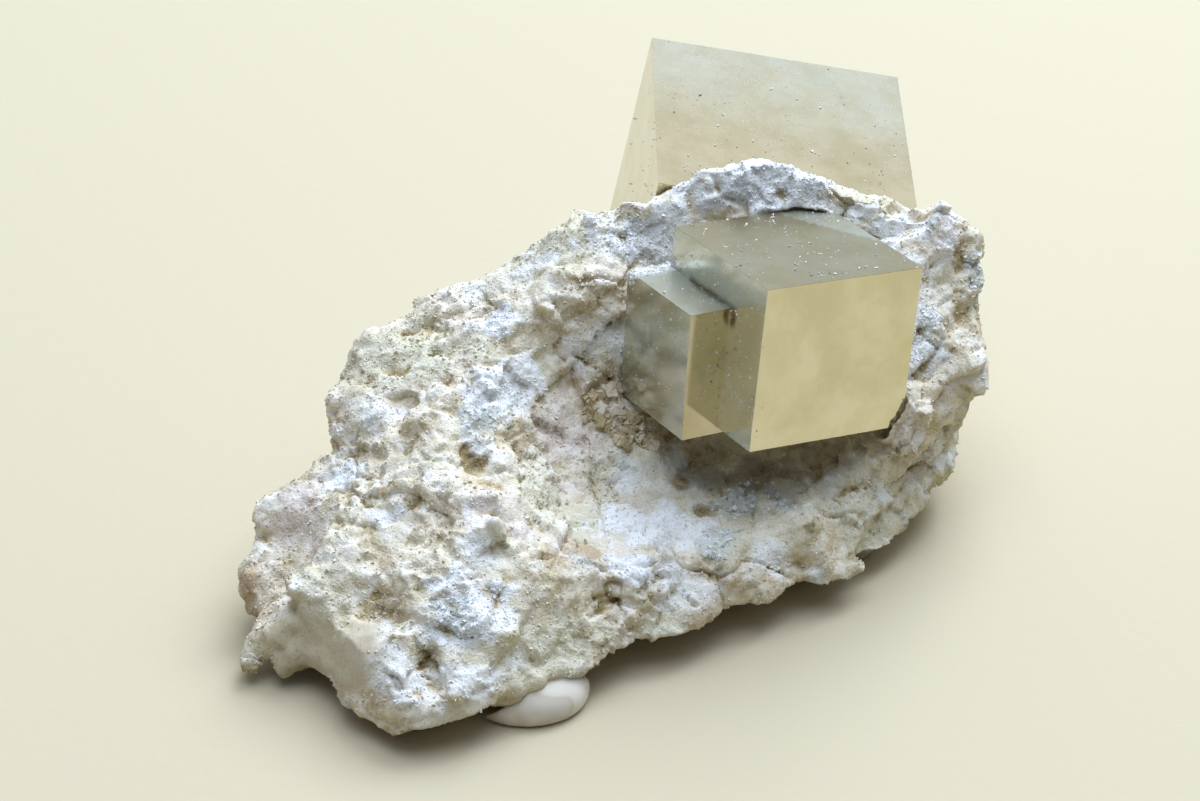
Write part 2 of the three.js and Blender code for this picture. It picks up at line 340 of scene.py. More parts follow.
def step(low, high, value):
    """0 below low, 1 above high, and an even turn between them."""
    t = np.clip((value - low) / (high - low), 0, 1)
    return t * t * (3 - 2 * t)


def drift(p, size, seed, low, high):
    """Natural ragged areas, 0 to 1, of the given size."""
    return step(low, high, cloud(p, size, seed) * 0.65 + cloud(p, size * 0.42, seed + 1) * 0.35)


def nearest_on_line(p, start, end):
    """How far along a line each place lies, from 0 to 1, and the line's nearest point."""
    start = np.array(start)
    line = np.array(end) - start
    t = np.clip(((p - start) @ line) / (line @ line), 0, 1)
    return t, start + t[:, None] * line


def from_line(p, start, end):
    """Distance of each place from a line."""
    return np.linalg.norm(p - nearest_on_line(p, start, end)[1], axis=1)


def patch(p, centre, reach, seed, ragged):
    """1 inside a ragged patch about a place, 0 outside it."""
    far = np.linalg.norm((p - np.array(centre)) / np.array(reach), axis=1)
    if ragged:
        far = far + cloud(p, 2.4, seed) * ragged * 0.6 + cloud(p, 0.9, seed + 1) * ragged * 0.4
    return 1 - step(0.7, 1.15, far)


def patches(p, places, seed, ragged):
    """1 inside any of several ragged patches, 0 outside them."""
    most = np.zeros(len(p))
    for centre, reach in places:
        most = np.maximum(most, patch(p, centre, reach, seed, ragged))
    return most


# Named places on the stone, in millimetres from the specimen's corner: each is a place and its reach

CLEAN_FACETS = (
    ((-27.5, 0.4, 5.2), (4.2, 4.0, 4.0)),
    ((-22.2, -2.6, 5.4), (3.8, 4.6, 4.2)),
)
SMOOTH_TOE = (((-12.5, -9.5, 3.2), (6.5, 3.2, 2.2)), ((-6.5, -7.0, 3.6), (4.0, 2.6, 2.0)))
# stone worn low: the dip in the crest beside the back cube, and below the front crystal's low corner
WORN_LOW = (((27.8, 38.2, 30.4), (4.6, 3.4, 3.4)), ((28.8, 21.6, 15.0), (3.2, 2.6, 3.4)))
# parts of the stone moved to where the real crest, lip and heel lie: place, reach, shift
SHIFTED_PARTS = (
    ((12.2, 39.5, 31.5), (3.2, 4.5, 8.0), (0.0, 0.0, 1.2)),
    ((27.8, 40.0, 29.5), (5.6, 3.6, 8.0), (0.0, 0.0, -1.4)),
    ((28.8, 21.6, 14.6), (2.8, 2.6, 3.2), (0.0, 0.0, -1.0)),
    ((-30.2, 2.4, 2.4), (3.2, 3.2, 3.4), (-0.3, -0.9, 0.0)),
)
# the heel of the left end, which stays full where it meets the table
LOBE_HEEL = (((-32.6, 4.6, 3.2), (5.2, 6.0, 4.6)),)
SMOOTH_FLOW = (((-28.6, 13.6, 11.0), (3.4, 5.0, 4.0)),)
# hollows with a sharp brow: place, reach, depth
BROWED_HOLLOWS = (
    ((-24.8, 10.1, 12.3), (1.7, 1.3, 1.2), 0.75),
    ((-21.7, 7.3, 12.4), (1.1, 1.3, 1.4), 0.6),
    ((-21.9, 11.1, 13.9), (1.9, 1.2, 0.9), 0.5),
    ((-20.7, 1.0, 8.6), (2.0, 1.7, 1.5), 0.6),
    ((-16.4, -7.8, 5.7), (0.7, 0.6, 0.6), 0.5),
    ((-10.1, 11.7, 15.3), (1.6, 1.2, 1.0), 0.5),
    ((-12.0, 14.6, 15.9), (1.4, 1.2, 1.4), 0.7),
    ((-13.7, -1.1, 10.4), (1.2, 1.0, 0.8), 0.45),
    ((-10.2, 0.3, 10.7), (1.2, 1.0, 0.8), 0.4),
    ((-12.3, -3.2, 9.4), (0.8, 0.8, 0.7), 0.5),
    ((-18.1, 29.5, 20.8), (1.8, 1.3, 0.9), 0.5),
    ((-15.3, 28.2, 21.3), (1.3, 1.5, 1.2), 0.55),
    ((-15.9, 26.2, 20.4), (1.0, 1.0, 0.8), 0.45),
    ((-19.1, 25.4, 19.2), (1.6, 1.1, 0.8), 0.5),
    ((-23.0, 24.9, 18.1), (1.5, 1.0, 0.8), 0.5),
    ((-18.8, 18.6, 17.4), (1.3, 1.0, 0.8), 0.5),
    ((-11.5, 28.6, 22.5), (0.7, 0.7, 0.6), 0.35),
    ((-10.0, 25.6, 21.7), (2.0, 1.6, 1.2), 0.45),
    ((-17.3, 20.8, 18.5), (0.9, 0.8, 0.6), 0.4),
    ((1.2, 3.6, 6.4), (1.8, 1.4, 1.6), 0.7),
    ((11.3, 8.4, 7.1), (1.2, 1.0, 0.9), 0.55),
    ((8.1, 20.9, 9.2), (1.4, 1.1, 1.2), 0.6),
    ((10.2, 17.1, 8.5), (1.5, 1.3, 1.1), 0.6),
    ((17.3, 11.2, 6.1), (2.0, 1.4, 1.0), 0.35),
    ((20.3, 13.4, 7.4), (1.0, 1.2, 1.2), 0.35),
    ((24.5, 19.6, 8.1), (1.6, 1.4, 1.6), 0.4),
    ((36.0, 36.2, 25.6), (1.0, 1.8, 1.6), 0.5),
    ((35.8, 33.1, 21.6), (1.0, 1.6, 1.5), 0.5),
    ((32.4, 33.5, 24.5), (0.5, 0.5, 0.5), 0.6),
    ((-2.1, 33.3, 27.3), (1.8, 0.9, 0.7), 0.4),
    ((-0.6, 30.1, 24.3), (1.5, 1.0, 1.0), 0.5),
    ((2.0, 35.8, 27.9), (1.2, 0.9, 0.7), 0.4),
    ((17.7, 38.4, 32.0), (1.6, 1.0, 0.8), 0.35),
    ((9.9, 38.8, 30.8), (1.4, 1.0, 0.8), 0.35),
)
# long thin breaks: from, to, half width, depth
SPLITS = (
    ((19.3, 15.3, 7.9), (24.6, 18.6, 7.6), 0.16, 0.7),
    ((28.7, 22.2, 8.3), (32.3, 25.5, 8.1), 0.2, 0.7),
    ((8.5, 6.4, 6.5), (9.4, 5.4, 5.8), 0.14, 0.6),
    ((-12.1, 21.8, 20.2), (-15.0, 18.2, 18.7), 0.5, 0.45),
)
OCHRE = (
    ((-4.1, 5.8, 11.6), (2.4, 1.2, 0.7)),
    ((-1.4, 7.5, 10.9), (2.2, 1.2, 0.7)),
    ((-20.6, 11.9, 14.7), (0.9, 0.8, 0.7)),
    ((8.1, 20.9, 9.2), (1.3, 1.1, 1.2)),
    ((-16.4, -7.8, 5.7), (0.9, 0.8, 0.8)),
    ((-33.5, 8.0, 6.5), (1.0, 1.8, 1.8)),
    ((-0.2, 26.9, 15.8), (2.2, 2.2, 2.6)),
    ((37.5, 34.0, 19.5), (1.4, 1.6, 1.2)),
)
PINK = (
    ((3.0, 17.5, 9.6), (5.0, 4.0, 3.0)),
    ((-28.6, 13.6, 11.0), (3.4, 5.0, 4.0)),
    ((-3.3, 22.8, 13.7), (4.0, 4.0, 4.0)),
    ((33.6, 36.9, 28.0), (2.6, 2.6, 1.6)),
    ((-9.2, 8.0, 14.0), (4.0, 3.0, 2.0)),
)
GLASS = (
    ((-11.2, 18.3, 18.3), (1.7, 1.3, 1.0)),
    ((-13.7, -1.1, 10.4), (1.6, 1.4, 1.0)),
    ((-10.2, 0.3, 10.7), (1.5, 1.2, 0.9)),
    ((-12.3, -3.2, 9.4), (1.2, 1.1, 0.9)),
    ((32.3, 38.2, 29.6), (1.1, 1.1, 1.0)),
    ((14.8, 18.6, 8.1), (3.6, 2.2, 1.6)),
    ((11.1, 11.6, 8.7), (1.8, 2.6, 1.6)),
    ((37.0, 36.0, 24.0), (1.2, 1.6, 2.2)),
)
PALE_GREEN = (
    ((-4.2, -0.8, 6.5), (5.0, 4.0, 4.0)),
    ((-9.2, 4.8, 13.5), (3.0, 2.6, 2.0)),
    ((-16.0, 27.0, 20.6), (6.0, 4.0, 3.0)),
    ((5.0, 23.6, 12.0), (4.0, 2.2, 1.6)),
)
WHITE = (
    ((-12.0, -1.2, 10.2), (4.4, 3.6, 2.6)),
    ((-9.3, 22.0, 19.0), (3.4, 3.6, 2.6)),
    ((-10.0, 29.2, 23.1), (2.8, 2.4, 1.6)),
    ((-24.8, 16.6, 13.6), (2.0, 2.4, 2.4)),
    ((-19.9, 9.1, 13.6), (2.0, 1.4, 1.2)),
    ((4.4, 13.6, 9.2), (6.0, 3.0, 2.0)),
    ((3.6, 6.7, 9.0), (3.0, 1.8, 1.2)),
    ((5.0, 36.4, 28.0), (6.0, 3.0, 3.0)),
    ((28.0, 36.5, 28.5), (4.0, 3.0, 3.0)),
    ((16.5, 39.0, 32.5), (9.0, 3.5, 3.0)),
    ((31.0, 30.0, 20.0), (3.0, 3.0, 3.0)),
)
# brown patches: painted shade under the front crystals, and soil in a few hollows
SOIL_AND_SHADE = (
    ((-15.3, -4.3, 7.0), (1.0, 1.3, 2.6)),
    ((-12.0, 14.6, 15.9), (1.1, 1.0, 1.0)),
    ((14.7, 22.2, 9.4), (6.0, 1.8, 1.6)),
    ((25.5, 23.6, 12.4), (3.0, 1.6, 1.4)),
    ((3.9, 25.4, 12.4), (3.0, 1.6, 1.6)),
    ((10.2, 17.1, 8.5), (1.2, 1.0, 0.9)),
    ((32.4, 33.5, 24.5), (0.5, 0.5, 0.5)),
    ((11.3, 8.4, 7.1), (1.0, 0.8, 0.7)),
)
CRUMBS = (((0.2, 26.2, 15.0), (2.0, 2.2, 2.0)), ((3.4, 24.8, 12.6), (3.4, 2.2, 1.8)))

# The layers of the marl dip along the first of these and are stacked along the second.
ALONG = np.array((-0.76, -0.54, -0.355))
ACROSS = np.array((-0.289, -0.205, 0.935))
ASIDE = np.cross(ALONG, ACROSS)
# share of a layer's height that its sharp brow takes
BROW = 0.17
# A place on the front rim and the way that the rim runs from it, seen from above.
RIM_PLACE = np.array((-15.0, -11.0))
RIM_WAY = np.array((0.78, 0.627))
RIM_GAP = 3.2
# The stone closes on a crystal from this far off, in millimetres.
CLOSING = 2.6
# Under this height, in millimetres, the skin keeps to the flat base of its solid.
BASE = 0.3


def to_places(points):
    """Metres in the frame to millimetres from the specimen's corner."""
    return points / MM - ORIGIN


def to_frame(places):
    """Millimetres from the specimen's corner to metres in the frame."""
    return (places + ORIGIN) * MM


def corner_places(box):
    """The two corners of a box in the frame, in millimetres from the specimen's corner."""
    return [to_places(np.array(corner)) for corner in box]


def inside_box(places):
    """Places held inside the solids' own box."""
    low, high = corner_places(CAD_BOX)
    return np.clip(places, low + BOX_MARGIN, high - BOX_MARGIN)


def clean_share(p, toe):
    """1 on the clean broken facets, and the given share on the smooth toe."""
    return np.maximum(patches(p, CLEAN_FACETS, 19, 0.3), patches(p, SMOOTH_TOE, 20, 0.5) * toe)


def stone_tones(p, hollow):
    """The two sets of masks that the stone's material reads, by place."""
    ochre = np.maximum(patches(p, OCHRE, 11, 0.9), drift(p, 5.0, 111, 0.42, 0.6) * 0.55)
    pink = np.maximum(patches(p, PINK, 13, 0.9) * 0.85, drift(p, 7.0, 113, 0.15, 0.5) * 0.35)
    glass = patches(p, GLASS, 17, 0.9)
    green = np.maximum(patches(p, PALE_GREEN, 23, 0.9), drift(p, 8.0, 123, 0.05, 0.45) * 0.9)
    soil_and_shade = np.maximum(patches(p, SOIL_AND_SHADE, 29, 0.7), drift(p, 4.0, 129, 0.5, 0.7) * 0.4)
    white = np.maximum(patches(p, WHITE, 31, 0.9), drift(p, 4.5, 131, 0.15, 0.5) * 0.75)
    return {
        # the first set holds the hollow mask, which the material paints as shade in the recesses, with the
        # real ochre, pink and glass
        "wear_and_shade": np.stack([hollow, ochre, pink, glass], 1),
        "kind": np.stack([clean_share(p, 0.8), green, soil_and_shade, white], 1),
    }


# Stone


def taken_through(modifier_kind, mesh, **settings):
    """The mesh that one modifier makes of a mesh."""
    source = bpy.data.objects.new(mesh.name, mesh)
    bpy.context.scene.collection.objects.link(source)
    modifier = source.modifiers.new(modifier_kind.capitalize(), modifier_kind)
    for name, value in settings.items():
        setattr(modifier, name, value)
    bpy.context.view_layer.update()
    made = bpy.data.meshes.new_from_object(source.evaluated_get(bpy.context.evaluated_depsgraph_get()))
    bpy.data.objects.remove(source)
    return made


def remeshed(node, spacing):
    """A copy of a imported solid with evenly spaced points, as a mesh of four-sided faces."""
    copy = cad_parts[node].data.copy()
    welded = bmesh.new()
    welded.from_mesh(copy)
    bmesh.ops.remove_doubles(welded, verts=welded.verts, dist=1e-6)
    welded.to_mesh(copy)
    welded.free()
    return taken_through("REMESH", copy, mode="VOXEL", voxel_size=spacing)


def thinned(mesh, most):
    """The mesh with at most this many triangles, fewest where it is flattest, as in the sockets."""
    mesh.calc_loop_triangles()
    count = len(mesh.loop_triangles)
    return mesh if count <= most else taken_through("DECIMATE", mesh, ratio=most / count)


def layered(p, settings):
    """Weathered layers: each stands out over the one below it with a sharp brow and slopes back upward."""
    rise = settings.ledge_rise / MM
    height = (p @ ACROSS + 1.5 * cloud(p, 8.0, 31) + 0.6 * cloud(p, 3.1, 32)) / rise
    level = np.floor(height)
    part = height - level
    cell = np.stack([level, level * 0, level * 0], 1).astype(np.int64)
    strength = 0.3 + 0.9 * place_number(cell, 33)
    shown = step(-0.35, 0.45, cloud(p, 6.5, 34))
    profile = np.where(part < BROW, part / BROW, (1 - part) / (1 - BROW))
    return (profile - 0.5) * strength * shown * settings.ledge_depth / MM


def streaked(p):
    """Fine ribs that run with the layers."""
    q = np.stack([p @ ALONG / 5.0, p @ ACROSS / 0.75, p @ ASIDE / 1.7], 1)
    q += cloud(p, 2.6, 36)[:, None] * 0.5
    return cloud(q, 1.0, 35) * 0.11 * step(-0.3, 0.4, cloud(p, 5.5, 37))


def crumbled(p):
    """Uneven broken surface: low swells with sharp crests, and finer roughness on them."""
    out = cloud(p, 6.0, 41) * 0.42
    for size, rise, seed in ((3.2, 0.11, 42), (1.5, 0.05, 43), (0.8, 0.05, 44)):
        out += (0.3 - np.abs(cloud(p, size, seed))) * rise + cloud(p, size * 0.8, seed + 40) * rise * 0.45
    return out


def grainy(p):
    """Sand-fine roughness."""
    return cloud(p, 0.55, 46) * 0.08 + cloud(p, 0.9, 47) * 0.04


def pocked(p):
    """How much each place lies in a small ragged hollow where softer grains fell out, in clusters."""
    shape = cloud(p, 2.3, 48) + 0.55 * cloud(p, 1.0, 49) + 0.25 * cloud(p, 0.5, 50)
    return step(0.62, 0.9, shape) * step(-0.15, 0.35, cloud(p, 7.0, 45))


def chipped(p, size, rise, seed):
    """Flat faces left where grains broke away, each tilted its own way."""
    _, owner, offset = grains(p, size, seed)
    turn = np.stack([place_number(owner, seed + 7 + k) for k in range(3)], 1) * 2 - 1
    lift = place_number(owner, seed + 11) - 0.5
    return np.clip((offset * turn).sum(1) * 0.6 + lift * rise, -rise, rise)


def cracked(p, size, width, depth, seed):
    """Fine cracks between grains of the given size, shown in places."""
    gap, _, _ = grains(p + clouds(p, 3.0, seed) * 1.1, size, seed)
    shown = step(0.1, 0.5, cloud(p, 6.0, seed + 5))
    return -(1 - step(width * 0.3, width, gap)) * depth * shown


def browed(p):
    """The named hollows, each with a sharp brow: depth and how much each place is hollowed."""
    depth = np.zeros(len(p))
    inside = np.zeros(len(p))
    ragged = cloud(p, 1.3, 62) * 0.5 + cloud(p, 0.6, 63) * 0.3
    bottom = 0.8 + 0.5 * cloud(p, 0.7, 66)
    uphill = np.array((-0.1, 0.55, 0.83))
    for place, reach, deep in BROWED_HOLLOWS:
        away = p - np.array(place)
        near = np.where((np.abs(away) < 5).all(1))[0]
        far = np.linalg.norm(away[near] / (np.array(reach) * 1.15), axis=1) + ragged[near]
        lean = np.clip(0.5 + 0.5 * (away[near] @ uphill) / max(reach), 0, 1)
        share = 1 - np.clip((far - 0.25 - 0.55 * lean) / (0.75 - 0.5 * lean), 0, 1)
        brow = 0.25 + 0.85 * lean
        depth[near] = np.minimum(depth[near], -0.68 * deep * share * brow * bottom[near])
        inside[near] = np.maximum(inside[near], share)
    return depth, inside


def split(p):
    """Long thin breaks between two places."""
    depth = np.zeros(len(p))
    bend = clouds(p, 1.4, 64) * 0.35
    for start, end, half, deep in SPLITS:
        t, nearest = nearest_on_line(p, start, end)
        far = np.linalg.norm(p + bend - nearest, axis=1)
        taper = np.minimum(1, 4 * t * (1 - t) + 0.25)
        surface = np.abs(p - nearest).max(1) < 2.5
        depth = np.minimum(depth, -deep * (1 - step(half, half * 2.6, far)) * taper * surface)
    return depth


def crystal_gaps(p):
    """Distance in millimetres from each place to the nearest crystal, 9 where it is far."""
    corners = []
    faces = []
    for node in CRYSTAL_NODES:
        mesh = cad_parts[node].data
        start = len(corners)
        corners += [tuple(to_places(np.array(v.co))) for v in mesh.vertices]
        faces += [tuple(start + i for i in face.vertices) for face in mesh.polygons]
    crystals = BVHTree.FromPolygons(corners, faces)
    gap = np.full(len(p), 9.0)
    for node in CRYSTAL_NODES:
        low, high = corner_places(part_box(node))
        for i in np.where(((p > low - CLOSING) & (p < high + CLOSING)).all(1))[0]:
            found = crystals.find_nearest(Vector(p[i]), CLOSING)
            if found[0] is not None:
                gap[i] = found[3]
    return gap


def undercut(p):
    """The foot of the stone drawn in under its front rim, so that the rim stands out over a dark gap."""
    inward = np.array((-RIM_WAY[1], RIM_WAY[0]))
    depth = (p[:, :2] - RIM_PLACE) @ inward
    share = (1 - step(0.8, 3.6, p[:, 2])) * (1 - np.clip(depth / 18, 0, 1)) * step(-22, -14, p[:, 0])
    moved = p.copy()
    moved[:, :2] += inward * (RIM_GAP * share)[:, None]
    return moved


def near_putty(p):
    """1 where the stone presses into the putty, 0 away from it."""
    low, high = corner_places(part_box("putty_foot"))
    far = np.linalg.norm((p - (low + high) / 2) / ((high - low) / 2 + 1.0), axis=1)
    return 1 - step(0.8, 1.15, far)


def shifts(p):
    """How far each point moves with the part of the stone that it belongs to."""
    total = np.zeros_like(p)
    for place, reach, way in SHIFTED_PARTS:
        total += patch(p, place, reach, 24, 0)[:, None] * np.array(way)
    return total


def blended(first, second, share):
    """The first where the share is 0, the second where it is 1."""
    return first * (1 - share) + second * share


def weathered(p, in_pocks, settings):
    """How far the layered and broken surface stands out, from its swells to its sand-fine grain."""
    flow = 1 - patches(p, SMOOTH_FLOW, 21, 0.5) * 0.7
    powder = 1 - patches(p, PINK[:1], 13, 0.6) * 0.5
    rough = 0.55 + 0.75 * step(-0.4, 0.4, cloud(p, 6.0, 53))
    angular = step(-0.2, 0.4, cloud(p, 5.0, 51))
    strayed = p + clouds(p, 1.3, 61) * 0.3
    out = layered(p, settings)
    out += crumbled(strayed) * rough * powder * settings.crumble
    out += chipped(strayed, 4.6, 0.3, 55) * angular * powder
    out += chipped(strayed, 2.4, 0.13, 52) * rough * powder
    out += chipped(p, 1.1, 0.05, 54) * rough
    out -= 0.22 * in_pocks * powder
    return out * flow + streaked(p) + cracked(p, 8.0, 0.35, 0.5, 57) + grainy(p)


def stone_relief(p, underside, gap, settings):
    """How far each point of the skin stands out, and how much it lies in a small hollow."""
    height = p[:, 2]
    clean = clean_share(p, 0.85)
    calm = 1 - clean * 0.95
    in_pocks = pocked(p)
    hollows, in_hollows = browed(p)
    out = weathered(p, in_pocks, settings) * calm
    out *= (1 - 0.6 * underside) * (0.35 + 0.65 * step(0.4, 3.0, height))
    # the underside is drawn in, but for the left end and where the stone presses into the putty
    out -= 0.5 * underside * step(-28, -24, p[:, 0])
    out = blended(out, 0.7 + 0.2 * cloud(p, 1.2, 68), near_putty(p))
    # the clean facets keep fine ribs
    striae = cloud(np.stack([p @ ALONG / 0.45, p @ ACROSS / 3.5, p[:, 0] / 3.5], 1), 1.0, 58)
    out += (striae + cloud(p, 1.2, 65)) * 0.05 * clean
    out += hollows + split(p) - 0.08
    heel = patches(p, LOBE_HEEL, 22, 0.4)
    out = out * (1 - 0.5 * heel) + (0.9 + 0.2 * cloud(p, 1.5, 67)) * heel
    # the stone closes on the crystals, leaving a thin dark seam here and there
    closing = 0.3 * gap - 0.1 + 0.15 * cloud(p, 0.7, 59) + 0.12 * cloud(p, 1.7, 69)
    out = np.where(gap < CLOSING, np.minimum(out, closing), out)
    out -= patches(p, WORN_LOW, 24, 0.4) * 0.95
    out = np.where(out < 0, out * step(0.1, 2.6, height), out)
    seam = cloud(p, 0.9, 59) * 0.14 + cloud(p, 3.0, 60) * 0.1 - 0.04
    out = blended(out, seam, 1 - step(0.32, 0.9, gap))
    out[height < BASE] = 0
    return out, np.maximum(in_pocks * 0.6 * calm, in_hollows)


def sunken(moved, normals, edges, spacing):
    """How far each point lies under the mean of those around it, near and wide, in millimetres."""
    ring = spacing / (0.25 * MM)
    around = moved.copy()
    depths = []
    for rounds in (int(6 / ring), int(40 / ring**2) + 4):
        for _ in range(rounds):
            around = neighbour_mean(around, edges, len(moved))
        depths.append(((around - moved) * normals).sum(1))
    return depths


def build_stone(settings):
    """The stone's skin: its mesh, its points as places, its triangles, and the masks for its material."""
    spacing = settings.skin_step
    mesh = remeshed("matrix", spacing)
    points, triangles = mesh_arrays(mesh)
    p = undercut(to_places(points))
    edges = np.empty(len(mesh.edges) * 2, np.int32)
    mesh.edges.foreach_get("vertices", edges)
    edges = edges.reshape(-1, 2)
    # the relief stands square to the large forms, so the normals are smoothed
    normals = point_normals(p, triangles)
    for _ in range(4):
        normals = neighbour_mean(normals, edges, len(p)) * 0.5 + normals * 0.5
    normals = unit(normals)

    underside = step(0.05, 0.5, -normals[:, 2])
    out, in_hollow = stone_relief(p, underside, crystal_gaps(p), settings)
    moved = inside_box(p + normals * out[:, None] + shifts(p))
    base = p[:, 2] < BASE
    moved[base] = p[base]
    moved[p[:, 2] < 0.12, 2] = 0.002
    near, wide = sunken(moved, normals, edges, spacing)
    # the hollow mask is how far each point lies sunken, and the material paints it tan and brown as painted
    # shade in the recesses
    tones = stone_tones(moved, np.clip(0.4 + near * 0.35 + wide * 0.5 + 0.22 * in_hollow, 0, 1))
    # faces that look down take the soil brown as well: painted shade under the overhangs
    tones["kind"][:, 2] = np.maximum(tones["kind"][:, 2], underside * 0.75)
    mesh.vertices.foreach_set("co", to_frame(moved).astype(np.float32).ravel())
    return mesh, moved, triangles, tones


CUBE = np.array([(x, y, z) for z in (-1, 1) for y in (-1, 1) for x in (-1, 1)], float) / 2
CUBE_FACES = np.array(((0, 2, 3, 1), (4, 5, 7, 6), (0, 1, 5, 4), (2, 6, 7, 3), (0, 4, 6, 2), (1, 3, 7, 5)))


def scattered(points, triangles, weight, count, rng):
    """Random places on triangles, by area times weight: places, flat normals, triangle numbers."""
    flat = triangle_normals(points, triangles)
    share = np.linalg.norm(flat, axis=1) * weight
    chosen = rng.choice(len(triangles), size=count, p=share / share.sum())
    u = rng.random((count, 1))
    v = rng.random((count, 1))
    over = (u + v) > 1
    u = np.where(over, 1 - u, u)
    v = np.where(over, 1 - v, v)
    a, b, c = (points[triangles[chosen, k]] for k in range(3))
    return a + (b - a) * u + (c - a) * v, unit(flat[chosen]), chosen


def turned(count, rng):
    """Random turns as matrices."""
    q = rng.normal(size=(count, 4))
    q /= np.linalg.norm(q, axis=1)[:, None]
    w, x, y, z = q.T
    rows = (
        (1 - 2 * (y * y + z * z), 2 * (x * y - z * w), 2 * (x * z + y * w)),
        (2 * (x * y + z * w), 1 - 2 * (x * x + z * z), 2 * (y * z - x * w)),
        (2 * (x * z - y * w), 2 * (y * z + x * w), 1 - 2 * (x * x + y * y)),
    )
    return np.stack([np.stack(row, 1) for row in rows], 1)


def angular_grains(name, centres, sizes, rng, slim=0.55):
    """One broken six-sided grain at each centre, all corners shifted, in one mesh."""
    count = len(centres)
    shape = CUBE[None] + rng.uniform(-0.24, 0.24, (count, len(CUBE), 3))
    shape *= rng.uniform(slim, 1.0, (count, 1, 3)) * sizes[:, None, None]
    shape = np.einsum("nij,nkj->nki", turned(count, rng), shape)
    points = (shape + centres[:, None]).reshape(-1, 3)
    faces = (CUBE_FACES[None] + (np.arange(count) * len(CUBE))[:, None, None]).reshape(-1, 4)
    return filled_mesh(name, to_frame(inside_box(points)), faces)


def strewn(name, skin, weight, count, rng, sizes, lift, slim=0.55):
    """Grains strewn on the skin: their mesh, and the point of the skin that each lies by.

    sizes is the least size, what is added to it at most, and the power that makes the large ones rare.
    lift is how far a grain sinks and rises at most, as a share of its size.
    """
    places, triangles = skin
    centres, facing, chosen = scattered(places, triangles, weight, count, rng)
    least, added, rare = sizes
    size = least + added * rng.random(count) ** rare
    centres += facing * (size * rng.uniform(*lift, count))[:, None]
    return angular_grains(name, centres, size, rng, slim), triangles[chosen, 0]


